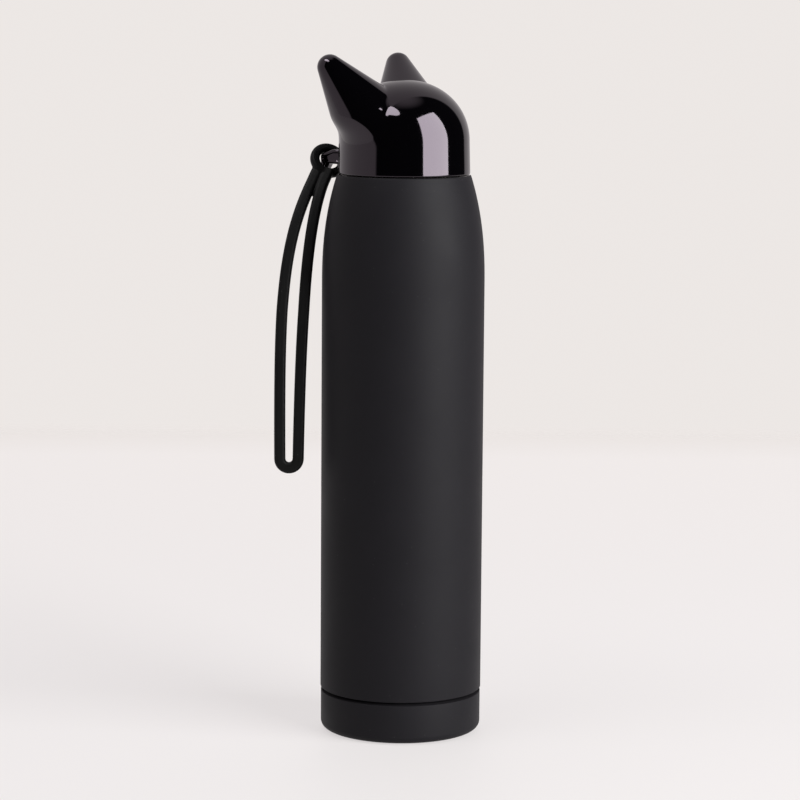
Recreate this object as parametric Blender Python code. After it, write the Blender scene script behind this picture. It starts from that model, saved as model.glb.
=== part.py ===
"""Vacuum flask with a cat-eared screw cap and a silicone carry strap.

Every sub-part is one object with its own material.  The origin is the centre
of the resting face, +Z is up, and the strap hangs on the +Y side of the cap.
The two ears stand on either side of +Y.
"""
import math

import bmesh
import bpy
from mathutils import Matrix, Vector

MM = 0.001

# Heights above the resting face, millimetres.
PAD_THICKNESS = 1.2
SEAM_Z = 17.3
SHOULDER_TOP_Z = 227.9
CAP_BOTTOM_Z = 228.3
NECK_TOP_Z = 239.7
LIP_TOP_Z = 240.9

# Radii, millimetres.
BODY_R = 33.0
CUP_R = 32.8
SHELL_FOOT_R = 31.9
SHELL_WALL = 0.75
NECK_R = 21.8
NECK_BORE_R = 21.1
VESSEL_R = 28.8
VESSEL_NECK_R = 20.8
MOUTH_R = 20.2
CAP_R = 26.76
CAP_WALL = 1.6
LINER_R = 24.45
LINER_BORE_R = 23.2
PLUG_R = 19.2

# Facets round a turned piece.
TURN_STEPS = 48
INNER_STEPS = 36
SMALL_STEPS = 20

# Screw thread between neck and liner: right hand, one start.
THREAD_LEAD = 4.0
THREAD_HEIGHT = 1.1
THREAD_ROOT = 2.4
THREAD_CREST = 1.2
THREAD_STEPS = 36
NECK_THREAD_Z = 231.5
NECK_THREAD_TURNS = 1.5
LINER_THREAD_TURNS = 1.25

# Dome of the cap and its two ears.
DOME_SPRING = 13.0
DOME_R = 26.4
DOME_HEIGHT = 24.7
DOME_POWER = 2.07
EAR_BEARING = 53.0
EAR_BASE_SHIFT = 8.2
EAR_ROOT = 237.7
EAR_ROOT_BLEND = 10.0
EAR_BASE_R = 18.4
EAR_BASE_Z = 252.7
EAR_BASE_BALL = 13.4
EAR_TIP_R = 31.9
EAR_TIP_Z = 271.1
EAR_TIP_BALL = 5.1
EAR_BLEND = 5.0
EAR_CREASE = 1.1

# Tongue that carries the strap, in the plane X = 0.
TONGUE_HALF = 1.9
TONGUE_OUT = 39.4
TONGUE_TOP_Z = 237.0
TONGUE_LOW_Z = 231.7
TONGUE_FOOT_Z = 228.8

# Carry strap: a moulded ring and one long loop.
RING_CENTRE = Vector((0.0, 36.57, 232.2))
RING_NORMAL = Vector((-0.478, -0.688, 0.546))
RING_BORE_R = 4.0
RING_OUTER_R = 7.75
RING_THICKNESS = 3.4
STRAP_SIDE = Vector((0.53, -0.848, 0.0))
STRAP_SWEEP = 28.6
STRAP_BEND = 26.0
STRAP_DROP = 120.0
STRAP_HALF_WIDTH = 2.3
STRAP_HALF_THICK = 1.7


def clear_scene():
    """Remove every object and the meshes left behind."""
    for item in list(bpy.data.objects):
        bpy.data.objects.remove(item, do_unlink=True)
    for mesh in list(bpy.data.meshes):
        bpy.data.meshes.remove(mesh)


def make_material(name, colour, roughness, metallic=0.0):
    """Principled BSDF material."""
    material = bpy.data.materials.new(name)
    material.use_nodes = True
    shader = material.node_tree.nodes["Principled BSDF"]
    shader.inputs["Base Color"].default_value = (*colour, 1.0)
    shader.inputs["Roughness"].default_value = roughness
    shader.inputs["Metallic"].default_value = metallic
    return material


def add_object(name, mesh, material, smooth=True):
    """Link a mesh as one object with one material."""
    item = bpy.data.objects.new(name, mesh)
    bpy.context.scene.collection.objects.link(item)
    mesh.materials.append(material)
    for face in mesh.polygons:
        face.use_smooth = smooth
    return item


def mesh_from(name, points, faces):
    """Mesh in metres from millimetre points, faces turned outward."""
    mesh = bpy.data.meshes.new(name)
    mesh.from_pydata([tuple(Vector(p) * MM) for p in points], [], faces)
    bm = bmesh.new()
    bm.from_mesh(mesh)
    bmesh.ops.recalc_face_normals(bm, faces=bm.faces)
    bm.to_mesh(mesh)
    bm.free()
    mesh.validate()
    return mesh


def rounded(corners, steps=4):
    """Open or closed outline from (r, z, fillet) corners."""
    result = []
    count = len(corners)
    for i, (r, z, fillet) in enumerate(corners):
        here = Vector((r, z))
        if fillet <= 0.0:
            result.append(here)
            continue
        before = Vector(corners[i - 1][:2]) - here
        after = Vector(corners[(i + 1) % count][:2]) - here
        half = before.angle(after) / 2.0
        back = fillet / math.tan(half)
        start = here + before.normalized() * back
        end = here + after.normalized() * back
        centre = here + (before.normalized() + after.normalized()).normalized() * (
            fillet / math.sin(half))
        arm_a = start - centre
        arm_b = end - centre
        turn = arm_a.angle_signed(arm_b)
        for step in range(steps + 1):
            swing = Matrix.Rotation(-turn * step / steps, 2)
            result.append(centre + swing @ arm_a)
    return result


def revolve(name, outline, material, steps=TURN_STEPS):
    """Turn an (r, z) outline round Z with the Screw modifier."""
    mesh = bpy.data.meshes.new(name)
    points = [(r * MM, 0.0, z * MM) for r, z in outline]
    edges = [(i, i + 1) for i in range(len(points) - 1)]
    if outline[0][0] > 1e-6:
        edges.append((len(points) - 1, 0))
    mesh.from_pydata(points, edges, [])
    item = add_object(name, mesh, material)
    screw = item.modifiers.new("turned", 'SCREW')
    screw.axis = 'Z'
    screw.angle = 2.0 * math.pi
    screw.steps = steps
    screw.render_steps = steps
    screw.use_merge_vertices = True
    screw.merge_threshold = 0.00002
    screw.use_smooth_shade = True
    return item


def bake(item):
    """Apply the modifiers of one object."""
    graph = bpy.context.evaluated_depsgraph_get()
    mesh = bpy.data.meshes.new_from_object(item.evaluated_get(graph))
    old = item.data
    item.modifiers.clear()
    item.data = mesh
    bpy.data.meshes.remove(old)
    bm = bmesh.new()
    bm.from_mesh(mesh)
    bmesh.ops.remove_doubles(bm, verts=bm.verts, dist=1e-7)
    bmesh.ops.recalc_face_normals(bm, faces=bm.faces)
    bm.to_mesh(mesh)
    bm.free()
    for face in mesh.polygons:
        face.use_smooth = True
    return item


def join_solid(item, other):
    """Unite a second closed solid into the first and drop the second."""
    union = item.modifiers.new("union", 'BOOLEAN')
    union.operation = 'UNION'
    union.solver = 'EXACT'
    union.object = other
    bake(item)
    bpy.data.objects.remove(other, do_unlink=True)
    return item


def thread_ridge(name, root, crest, start_z, start_turn, turns, material):
    """Closed helical ridge with run-in and run-out."""
    count = int(THREAD_STEPS * turns)
    points = []
    for i in range(count + 1):
        angle = 2.0 * math.pi * (start_turn + turns * i / count)
        z = start_z + THREAD_LEAD * angle / (2.0 * math.pi)
        fade = min(1.0, 8.0 * i / count, 8.0 * (count - i) / count)
        top = root + (crest - root) * max(fade, 0.02)
        sunk = root - (crest - root) * 0.25
        wide = THREAD_ROOT / 2.0
        thin = THREAD_CREST / 2.0
        for r, dz in ((sunk, -wide), (sunk, wide), (root, wide), (top, thin),
                      (top, -thin), (root, -wide)):
            points.append((r * math.cos(angle), r * math.sin(angle), z + dz))
    faces = [(5, 4, 3, 2, 1, 0)]
    for i in range(count):
        for k in range(6):
            a = i * 6 + k
            b = i * 6 + (k + 1) % 6
            faces.append((a, b, b + 6, a + 6))
    last = count * 6
    faces.append(tuple(last + k for k in range(6)))
    return add_object(name, mesh_from(name, points, faces), material)


def shoulder_line():
    """Outer line of the body from the shoulder's crown to the straight wall."""
    crown = [(22.7, SHOULDER_TOP_Z), (26.3, SHOULDER_TOP_Z), (26.9, 227.75),
             (27.25, 227.35)]
    curve = []
    for step in range(10):
        drop = step / 9.0
        z = 227.0 - 43.0 * drop ** 1.25
        level = (227.0 - z) / 43.0
        r = 27.35 + 5.65 * (1.0 - (1.0 - level) ** 2.35)
        curve.append((r, z))
    return crown + curve


def inset(line, wall):
    """The same line moved inward by the wall thickness."""
    result = []
    for i, (r, z) in enumerate(line):
        r0, z0 = line[max(i - 1, 0)]
        r1, z1 = line[min(i + 1, len(line) - 1)]
        run = Vector((r1 - r0, z1 - z0)).normalized()
        result.append((r + run.y * wall, z - run.x * wall))
    return result


def outer_shell(material):
    """Body shell: neck, shoulder, wall and the step that enters the cup."""
    neck = [(NECK_BORE_R, NECK_TOP_Z), (NECK_R - 0.25, NECK_TOP_Z),
            (NECK_R, NECK_TOP_Z - 0.25), (NECK_R, SHOULDER_TOP_Z + 0.9),
            (NECK_R + 0.3, SHOULDER_TOP_Z + 0.25)]
    outer = shoulder_line()
    foot = [(BODY_R, 120.0), (BODY_R, SEAM_Z + 0.45), (BODY_R - 0.25, SEAM_Z + 0.2),
            (SHELL_FOOT_R, SEAM_Z + 0.2), (SHELL_FOOT_R, 8.5),
            (SHELL_FOOT_R - SHELL_WALL, 8.5), (SHELL_FOOT_R - SHELL_WALL, SEAM_Z - 0.4),
            (BODY_R - SHELL_WALL, SEAM_Z + 1.6), (BODY_R - SHELL_WALL, 120.0)]
    inner = inset(outer, SHELL_WALL)[2::2]
    inner.reverse()
    throat = [(NECK_BORE_R + 0.6, SHOULDER_TOP_Z - SHELL_WALL),
              (NECK_BORE_R, SHOULDER_TOP_Z + 0.2)]
    item = bake(revolve("outer_shell", neck + outer + foot + inner + throat, material))
    ridge = thread_ridge("neck_thread", NECK_R, NECK_R + THREAD_HEIGHT, NECK_THREAD_Z,
                         0.0, NECK_THREAD_TURNS, material)
    return join_solid(item, ridge)


def base_pieces(metal, rubber, steel):
    """Metal cup round the foot, its rubber pad, end plate and sealing bead."""
    cup = rounded([(CUP_R, SEAM_Z - 0.1, 0.2), (CUP_R, 0.15, 3.1), (27.6, 0.15, 0.3),
                   (27.6, 1.5, 0.0)], 3)
    cup += [(0.0, 1.5)]
    cup += rounded([(0.0, 2.1, 0.0), (28.2, 2.1, 0.0), (28.2, 1.0, 0.0),
                    (CUP_R - 0.6, 1.0, 3.0), (CUP_R - 0.6, SEAM_Z - 0.1, 0.0)], 3)
    revolve("base_cup", from_axis(cup), metal)
    pad = rounded([(0.0, PAD_THICKNESS, 0.0), (27.2, PAD_THICKNESS, 0.25),
                   (27.2, 0.0, 0.5), (0.0, 0.0, 0.0)], 2)
    revolve("base_pad", pad, rubber, INNER_STEPS)
    plate = rounded([(30.85, 13.0, 0.0), (30.85, 6.6, 1.6), (8.0, 6.6, 0.0),
                     (7.0, 8.2, 0.0), (1.6, 8.2, 0.0), (1.6, 8.8, 0.0), (7.4, 8.8, 0.0),
                     (8.4, 7.2, 0.0), (30.25, 7.2, 1.0), (30.25, 13.0, 0.0)], 3)
    revolve("outer_end_plate", plate, steel, INNER_STEPS)
    bead = rounded([(0.0, 8.9, 0.0), (1.25, 8.9, 0.0), (1.25, 7.9, 0.0),
                    (4.2, 7.9, 0.4), (3.6, 6.7, 0.5), (0.0, 6.7, 0.0)], 3)
    revolve("vacuum_seal", bead, steel, SMALL_STEPS)


def vessel_pieces(steel, copper, grey):
    """Inner vessel, its bottom, the foil round it and the getter below it."""
    shoulder = [(VESSEL_NECK_R, 224.6)]
    for step in range(8):
        turn = math.pi / 2.0 * step / 7.0
        shoulder.append((VESSEL_NECK_R + 0.5 + 7.5 * math.sin(turn) ** 0.9,
                         224.0 - 42.0 * (1.0 - math.cos(turn)) ** 1.0))
    outer = [(NECK_R - 0.1, LIP_TOP_Z - 0.3), (NECK_R - 0.1, NECK_TOP_Z + 0.3),
             (VESSEL_NECK_R, NECK_TOP_Z + 0.3)] + shoulder
    outer += [(VESSEL_R, 100.0), (VESSEL_R, 16.0)]
    inner = inset(shoulder, 0.55)
    inner[0] = (MOUTH_R, 224.4)
    inner.reverse()
    inner = [(VESSEL_R - 0.5, 16.0), (VESSEL_R - 0.5, 100.0)] + inner
    inner += [(MOUTH_R, LIP_TOP_Z - 0.4), (MOUTH_R + 0.4, LIP_TOP_Z),
              (NECK_R - 0.4, LIP_TOP_Z)]
    revolve("inner_vessel", outer + inner, steel, INNER_STEPS)
    dish = rounded([(28.0, 21.0, 0.0), (28.0, 14.6, 2.4), (20.0, 14.6, 0.0),
                    (0.0, 16.6, 0.0)], 3)
    dish += rounded([(0.0, 17.1, 0.0), (20.0, 15.1, 0.0), (27.5, 15.1, 1.9),
                     (27.5, 21.0, 0.0)], 3)
    revolve("inner_bottom", from_axis(dish), steel, INNER_STEPS)
    foil = [(29.35, 180.0), (29.35, 24.0), (29.1, 24.0), (29.1, 180.0)]
    revolve("copper_foil", foil, copper, INNER_STEPS)
    pellet = rounded([(0.0, 12.6, 0.0), (3.2, 12.6, 0.4), (3.2, 10.4, 0.4),
                      (0.0, 10.4, 0.0)], 3)
    getter = revolve("getter_pellet", pellet, grey, SMALL_STEPS)
    getter.location = (16.0 * MM, 0.0, 0.0)
    clip = rounded([(-4.6, 13.4, 0.0), (-4.6, 9.6, 0.6), (4.6, 9.6, 0.6),
                    (4.6, 13.4, 0.0), (4.1, 13.4, 0.0), (4.1, 10.1, 0.2),
                    (-4.1, 10.1, 0.2), (-4.1, 13.4, 0.0)], 3)
    strip = prism("getter_clip", clip, -1.5, 1.5, steel)
    strip.location = (16.0 * MM, 0.0, 0.0)


def prism(name, outline, low, high, material):
    """Extrude an (across, up) outline along Y."""
    count = len(outline)
    points = [(a, low, z) for a, z in outline] + [(a, high, z) for a, z in outline]
    faces = [tuple(range(count)), tuple(range(count * 2 - 1, count - 1, -1))]
    for i in range(count):
        j = (i + 1) % count
        faces.append((i, j, j + count, i + count))
    return add_object(name, mesh_from(name, points, faces), material, False)


def blend_min(a, b, width):
    """Smooth minimum of two distances."""
    mix = min(1.0, max(0.0, 0.5 + 0.5 * (b - a) / width))
    return b * (1.0 - mix) + a * mix - width * mix * (1.0 - mix)


def dome_distance(point):
    """Signed distance, near enough, to the plain dome."""
    height = point.z - CAP_BOTTOM_Z
    radius = math.hypot(point.x, point.y)
    side = DOME_R + (CAP_R - DOME_R) * min(2.0, max(0.0, 1.0 - height / DOME_SPRING))
    over = max(height - DOME_SPRING, 0.0) / DOME_HEIGHT
    size = ((radius / side) ** DOME_POWER + over ** DOME_POWER) ** (1.0 / DOME_POWER)
    return (size - 1.0) * side


def ear_distance(point, side):
    """Signed distance to one ear, a round cone leaning out and up."""
    tip_turn = math.radians(EAR_BEARING)
    base_turn = math.radians(EAR_BEARING + EAR_BASE_SHIFT)
    base = Vector((side * EAR_BASE_R * math.sin(base_turn),
                   EAR_BASE_R * math.cos(base_turn), EAR_BASE_Z))
    tip = Vector((side * EAR_TIP_R * math.sin(tip_turn),
                  EAR_TIP_R * math.cos(tip_turn), EAR_TIP_Z))
    axis = tip - base
    length = axis.length
    along = (point - base).dot(axis) / length
    away = ((point - base) - axis * (along / length)).length
    slope = (EAR_BASE_BALL - EAR_TIP_BALL) / length
    cosine = math.sqrt(1.0 - slope * slope)
    foot = along * cosine - away * slope
    if foot > cosine * length:
        return math.hypot(away, along - length) - EAR_TIP_BALL
    out = side * point.x * math.sin(base_turn) + point.y * math.cos(base_turn)
    root = out * 0.33 + point.z * 0.94 - EAR_ROOT
    return -blend_min(EAR_BASE_BALL - away * cosine - along * slope, root,
                      EAR_ROOT_BLEND)


def crease_width(point, side):
    """Width of the blend at an ear's root: soft outside, tight towards the dome."""
    turn = math.radians(EAR_BEARING)
    out = side * point.x * math.sin(turn) + point.y * math.cos(turn)
    above = (point.z - EAR_BASE_Z) * 0.62 - (out - EAR_BASE_R) * 0.78
    inner = min(1.0, max(0.0, (above + 7.0) / 12.0))
    return EAR_BLEND - (EAR_BLEND - EAR_CREASE) * inner * inner * (3.0 - 2.0 * inner)


def cap_distance(point):
    """Signed distance to the outside of the cap."""
    first = blend_min(dome_distance(point), ear_distance(point, 1.0),
                      crease_width(point, 1.0))
    return blend_min(first, ear_distance(point, -1.0), crease_width(point, -1.0))


def reach(start, way, depth):
    """Distance from start along way to the surface lying depth inside the cap."""
    low = 2.0
    high = 60.0
    for _ in range(26):
        middle = (low + high) / 2.0
        if cap_distance(start + way * middle) < -depth:
            low = middle
        else:
            high = middle
    return (low + high) / 2.0


def cap_columns():
    """Bearings round the cap, closer together on the ears."""
    bearings = []
    for side in (1, -1):
        centre = 90.0 - side * (EAR_BEARING + 4.0)
        bearings += [centre + 3.6 * k for k in range(-7, 8)]
    gaps = sorted(b % 360.0 for b in bearings)
    filled = []
    for i, value in enumerate(gaps):
        following = gaps[(i + 1) % len(gaps)] + (360.0 if i + 1 == len(gaps) else 0.0)
        filled.append(value)
        pieces = int((following - value) // 7.5) + 1
        filled += [value + (following - value) * k / pieces for k in range(1, pieces)]
    return [math.radians(b) for b in filled]


def cap_skin(depth, rows, tilts, centre_z):
    """Rings of points over the cap, lying depth inside its outer surface."""
    columns = cap_columns()
    rings = []
    for z in rows:
        ring = []
        for turn in columns:
            way = Vector((math.cos(turn), math.sin(turn), 0.0))
            ring.append(way * reach(Vector((0, 0, z)), way, depth) + Vector((0, 0, z)))
        rings.append(ring)
    start = Vector((0, 0, centre_z))
    for tilt in tilts:
        ring = []
        for turn in columns:
            way = Vector((math.cos(turn) * math.cos(tilt),
                          math.sin(turn) * math.cos(tilt), math.sin(tilt)))
            ring.append(start + way * reach(start, way, depth))
        rings.append(ring)
    top = start + Vector((0, 0, 1)) * reach(start, Vector((0, 0, 1)), depth)
    return rings, top


def cap_shell(material):
    """Glossy hollow cap with both ears and the strap tongue."""
    tilts = [math.radians(a) for a in (5, 11, 17, 23, 28, 32, 35, 38, 41, 44, 47, 51, 57,
                                       65, 76)]
    outer, outer_top = cap_skin(0.0, (CAP_BOTTOM_Z + 0.5, 236.0, 244.0),
                                tilts, 244.0)
    few = [math.radians(a) for a in (10, 20, 28, 33, 37, 41, 46, 56, 70)]
    inner, inner_top = cap_skin(CAP_WALL, (CAP_BOTTOM_Z, 243.0), few, 243.0)
    edge = []
    for drop, slip in ((0.15, 0.05), (0.35, 0.15), (0.5, 0.45)):
        edge.append([Vector((p.x, p.y, 0)) * (1 - slip / CAP_R)
                     + Vector((0, 0, p.z - drop)) for p in outer[0]])
    edge.reverse()
    inner.reverse()
    rings = inner + edge + outer
    count = len(outer[0])
    points = [p for ring in rings for p in ring]
    faces = []
    for i in range(len(rings) - 1):
        for k in range(count):
            a = i * count + k
            b = i * count + (k + 1) % count
            faces.append((a, b, b + count, a + count))
    points += [inner_top, outer_top]
    last = (len(rings) - 1) * count
    for k in range(count):
        faces.append((k, len(points) - 2, (k + 1) % count))
        faces.append((last + k, last + (k + 1) % count, len(points) - 1))
    item = add_object("cap_shell", mesh_from("cap_shell", points, faces), material)
    return join_solid(item, tongue(material))


def tongue(material):
    """Rounded tongue on the cap wall that passes through the strap's ring."""
    foot_y = CAP_R - 1.0
    line = rounded([(foot_y, TONGUE_TOP_Z, 0.0), (33.4, TONGUE_TOP_Z, 2.6),
                    (TONGUE_OUT, 234.8, 1.6), (TONGUE_OUT - 0.5, 228.1, 0.9),
                    (36.9, 228.0, 0.8), (35.4, TONGUE_LOW_Z, 1.0),
                    (31.4, TONGUE_LOW_Z, 1.2), (29.6, TONGUE_FOOT_Z, 1.0),
                    (foot_y, TONGUE_FOOT_Z, 0.0)], 4)
    count = len(line)
    layers = ((-TONGUE_HALF, 0.75), (-TONGUE_HALF + 0.25, 0.3), (-TONGUE_HALF + 0.75, 0.0),
              (TONGUE_HALF - 0.75, 0.0), (TONGUE_HALF - 0.25, 0.3), (TONGUE_HALF, 0.75))
    points = []
    for x, pull in layers:
        small = shrink(line, pull)
        points += [(x, y, z) for y, z in small]
    faces = [tuple(range(count))]
    for i in range(len(layers) - 1):
        for k in range(count):
            a = i * count + k
            b = i * count + (k + 1) % count
            faces.append((a, b, b + count, a + count))
    last = (len(layers) - 1) * count
    faces.append(tuple(range(last + count - 1, last - 1, -1)))
    item = add_object("tongue", mesh_from("tongue", points, faces), material)
    return item


def shrink(line, pull):
    """Move the outline inward, leaving its foot on the cap wall."""
    result = []
    count = len(line)
    for i, point in enumerate(line):
        before = line[i - 1]
        after = line[(i + 1) % count]
        run = (after - before).normalized()
        moved = point + Vector((run.y, -run.x)) * pull
        if i == 0 or i == count - 1:
            moved = Vector((point.x, point.y + (-pull if i == 0 else pull)))
        result.append(moved)
    return result


def cap_inside(plastic, silicone, foam):
    """Threaded liner, plug, seals and the foam inside the plug."""
    liner = [(LINER_R, 241.0), (LINER_R, 229.3), (LINER_R - 0.3, 229.0),
             (LINER_BORE_R + 0.3, 229.0), (LINER_BORE_R, 229.3), (LINER_BORE_R, 243.0),
             (20.4, 243.0), (20.4, 244.4), (23.2, 244.4), (24.0, 243.6)]
    item = bake(revolve("cap_liner", liner, plastic))
    ridge = thread_ridge("liner_thread", LINER_BORE_R, LINER_BORE_R - THREAD_HEIGHT,
                         NECK_THREAD_Z - THREAD_LEAD / 2.0, 0.45, LINER_THREAD_TURNS,
                         plastic)
    join_solid(item, ridge)
    gasket = rounded([(22.6, 242.65, 0.4), (22.6, 241.2, 0.4), (20.4, 241.2, 0.4),
                      (20.4, 242.65, 0.4)], 1)
    revolve("lip_gasket", gasket, silicone, INNER_STEPS)
    plug = [(22.4, 245.9), (22.4, 244.7), (20.0, 244.7), (PLUG_R, 243.9),
            (PLUG_R, 236.2), (18.3, 236.2), (18.3, 233.0), (PLUG_R, 233.0)]
    plug += rounded([(PLUG_R, 233.0, 0.0), (PLUG_R, 230.0, 1.2), (0.0, 230.0, 0.0)], 4)[1:]
    plug += [(0.0, 231.5), (16.9, 231.5), (16.9, 245.9)]
    revolve("plug_body", from_axis(plug), plastic, INNER_STEPS)
    seal = [(19.75, 235.8), (19.95, 235.5), (19.95, 235.2), (19.5, 234.55),
            (19.95, 233.95), (19.95, 233.6), (19.75, 233.35), (18.65, 233.35),
            (18.65, 235.8)]
    revolve("plug_seal", seal, silicone, INNER_STEPS)
    foam_line = rounded([(0.0, 245.6, 0.0), (16.5, 245.6, 0.6), (16.5, 231.9, 0.6),
                         (0.0, 231.9, 0.0)], 2)
    revolve("cap_insulation", foam_line, foam, INNER_STEPS)
    cover = rounded([(0.0, 247.5, 0.0), (21.6, 247.5, 0.5), (21.6, 246.2, 0.3),
                     (0.0, 246.2, 0.0)], 2)
    revolve("plug_cover", cover, plastic, INNER_STEPS)


def from_axis(line):
    """Start a cup's outline where it leaves the axis, so that both poles close."""
    for i in range(len(line)):
        if line[i][0] == 0.0 and line[i - 1][0] == 0.0:
            return line[i:] + line[:i]
    return line


def strap_point(fall, side):
    """Middle line of the loop: fall below the ring and shift to one side."""
    along = -STRAP_SWEEP * (1.0 - math.exp(-fall / STRAP_BEND))
    return RING_CENTRE + Vector((along, 0.0, -fall)) + STRAP_SIDE * side


def strap_spread(fall):
    """Half the distance between the two strands."""
    swell = 2.15 * (1.0 - math.exp(-(max(fall - 8.0, 0.0) / 22.0) ** 1.3))
    taper = 0.75 * max(0.0, min(1.0, (fall - 60.0) / 60.0))
    return 2.42 + swell - taper


def strap_path():
    """Points down one strand, round the end and up the other."""
    falls = [3.6, 6.5, 10.0, 14.0, 18.0, 23.0, 28.0, 34.0, 41.0, 49.0, 58.0, 68.0, 79.0,
             91.0, 104.0, 114.0, STRAP_DROP]
    down = [strap_point(f, -strap_spread(f)) for f in falls]
    radius = strap_spread(STRAP_DROP)
    bend = []
    for step in range(1, 12):
        turn = math.pi * step / 12.0
        bend.append(strap_point(STRAP_DROP + radius * math.sin(turn),
                                -radius * math.cos(turn)))
    up = [strap_point(f, strap_spread(f)) for f in reversed(falls)]
    return down + bend + up


def strap_facing(fall):
    """Normal of the loop's broad side at one height."""
    slope = -STRAP_SWEEP / STRAP_BEND * math.exp(-fall / STRAP_BEND)
    run = Vector((slope, 0.0, -1.0)).normalized()
    return STRAP_SIDE.normalized().cross(run).normalized()


def strap_tube(material):
    """Both strands and the U-turn as one solid with a rounded section."""
    path = strap_path()
    ring = 12
    points = []
    for i, here in enumerate(path):
        run = (path[min(i + 1, len(path) - 1)] - path[max(i - 1, 0)]).normalized()
        facing = strap_facing(RING_CENTRE.z - here.z)
        across = facing.cross(run).normalized()
        facing = run.cross(across).normalized()
        for k in range(ring):
            turn = 2.0 * math.pi * (k + 0.5) / ring
            c = math.cos(turn)
            s = math.sin(turn)
            wide = STRAP_HALF_WIDTH * math.copysign(abs(c) ** 0.7, c)
            thick = STRAP_HALF_THICK * math.copysign(abs(s) ** 0.7, s)
            points.append(here + across * wide + facing * thick)
    faces = [tuple(range(ring))]
    for i in range(len(path) - 1):
        for k in range(ring):
            a = i * ring + k
            b = i * ring + (k + 1) % ring
            faces.append((a, b, b + ring, a + ring))
    last = (len(path) - 1) * ring
    faces.append(tuple(range(last + ring - 1, last - 1, -1)))
    return add_object("strap_loop", mesh_from("strap_loop", points, faces), material)


def carry_strap(material):
    """Strap: the ring round the tongue joined to the long loop."""
    middle = (RING_BORE_R + RING_OUTER_R) / 2.0
    half = (RING_OUTER_R - RING_BORE_R) / 2.0
    section = rounded([(middle + half, RING_THICKNESS / 2, 1.2),
                       (middle + half, -RING_THICKNESS / 2, 1.2),
                       (middle - half, -RING_THICKNESS / 2, 1.2),
                       (middle - half, RING_THICKNESS / 2, 1.2)], 2)
    steps = 32
    normal = RING_NORMAL.normalized()
    first = normal.orthogonal().normalized()
    second = normal.cross(first)
    points = []
    for i in range(steps):
        turn = 2.0 * math.pi * (i + 0.5) / steps
        out = first * math.cos(turn) + second * math.sin(turn)
        points += [RING_CENTRE + out * r + normal * z for r, z in section]
    count = len(section)
    faces = []
    for i in range(steps):
        for k in range(count):
            a = i * count + k
            b = i * count + (k + 1) % count
            c = ((i + 1) % steps) * count + (k + 1) % count
            d = ((i + 1) % steps) * count + k
            faces.append((a, b, c, d))
    item = add_object("carry_strap", mesh_from("carry_strap", points, faces), material)
    join_solid(item, strap_tube(material))
    origin = RING_CENTRE * MM
    item.data.transform(Matrix.Translation(-origin))
    item.location = origin
    return item


def main():
    clear_scene()
    body_black = make_material("matt black coating", (0.018, 0.018, 0.019), 0.62)
    gloss_black = make_material("gloss black plastic", (0.006, 0.006, 0.007), 0.06)
    silicone = make_material("black silicone", (0.014, 0.014, 0.014), 0.55)
    seal_grey = make_material("grey silicone", (0.45, 0.45, 0.46), 0.5)
    steel = make_material("stainless steel", (0.55, 0.55, 0.56), 0.28, 1.0)
    copper = make_material("copper foil", (0.72, 0.36, 0.22), 0.3, 1.0)
    inner_black = make_material("black inner plastic", (0.02, 0.02, 0.02), 0.4)
    foam = make_material("white foam", (0.8, 0.8, 0.78), 0.9)
    getter_grey = make_material("getter alloy", (0.3, 0.3, 0.32), 0.6, 1.0)
    outer_shell(body_black)
    base_pieces(body_black, silicone, steel)
    vessel_pieces(steel, copper, getter_grey)
    cap_shell(gloss_black)
    cap_inside(inner_black, seal_grey, foam)
    carry_strap(silicone)


main()
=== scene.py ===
"""Looks of the cat-eared vacuum flask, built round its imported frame.

Run as a script: it makes the finished pieces, the stage, the lights and the
camera.  Lengths in the geometry helpers are millimetres, and each mesh is
stored in metres.
"""
import math

import bmesh
import bpy
import numpy as np
from bpy.props import FloatProperty, FloatVectorProperty, IntProperty, PointerProperty
from mathutils import Matrix, Vector


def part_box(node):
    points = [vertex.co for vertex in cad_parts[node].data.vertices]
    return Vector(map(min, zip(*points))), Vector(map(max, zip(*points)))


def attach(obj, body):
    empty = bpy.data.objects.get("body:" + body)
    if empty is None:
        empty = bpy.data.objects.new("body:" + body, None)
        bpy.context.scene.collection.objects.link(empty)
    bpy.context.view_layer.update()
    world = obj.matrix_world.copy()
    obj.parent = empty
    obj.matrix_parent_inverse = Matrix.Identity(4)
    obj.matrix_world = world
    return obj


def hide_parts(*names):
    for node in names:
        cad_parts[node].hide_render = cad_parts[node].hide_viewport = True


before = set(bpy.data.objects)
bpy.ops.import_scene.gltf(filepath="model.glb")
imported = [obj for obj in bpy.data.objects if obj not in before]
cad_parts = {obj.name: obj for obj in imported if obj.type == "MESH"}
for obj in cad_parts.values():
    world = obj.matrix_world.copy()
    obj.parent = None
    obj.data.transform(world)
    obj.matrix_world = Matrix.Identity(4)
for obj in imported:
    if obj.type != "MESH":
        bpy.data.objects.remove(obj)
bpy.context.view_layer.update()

bl_info = {
    "name": "Cat-eared vacuum flask",
    "version": (1, 0, 0),
    "blender": (4, 5, 0),
    "location": "3D View > Sidebar > Flask",
    "description": "Builds the finished pieces of a vacuum flask with a cat-eared cap",
    "category": "Object",
}

MM = 0.001

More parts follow.
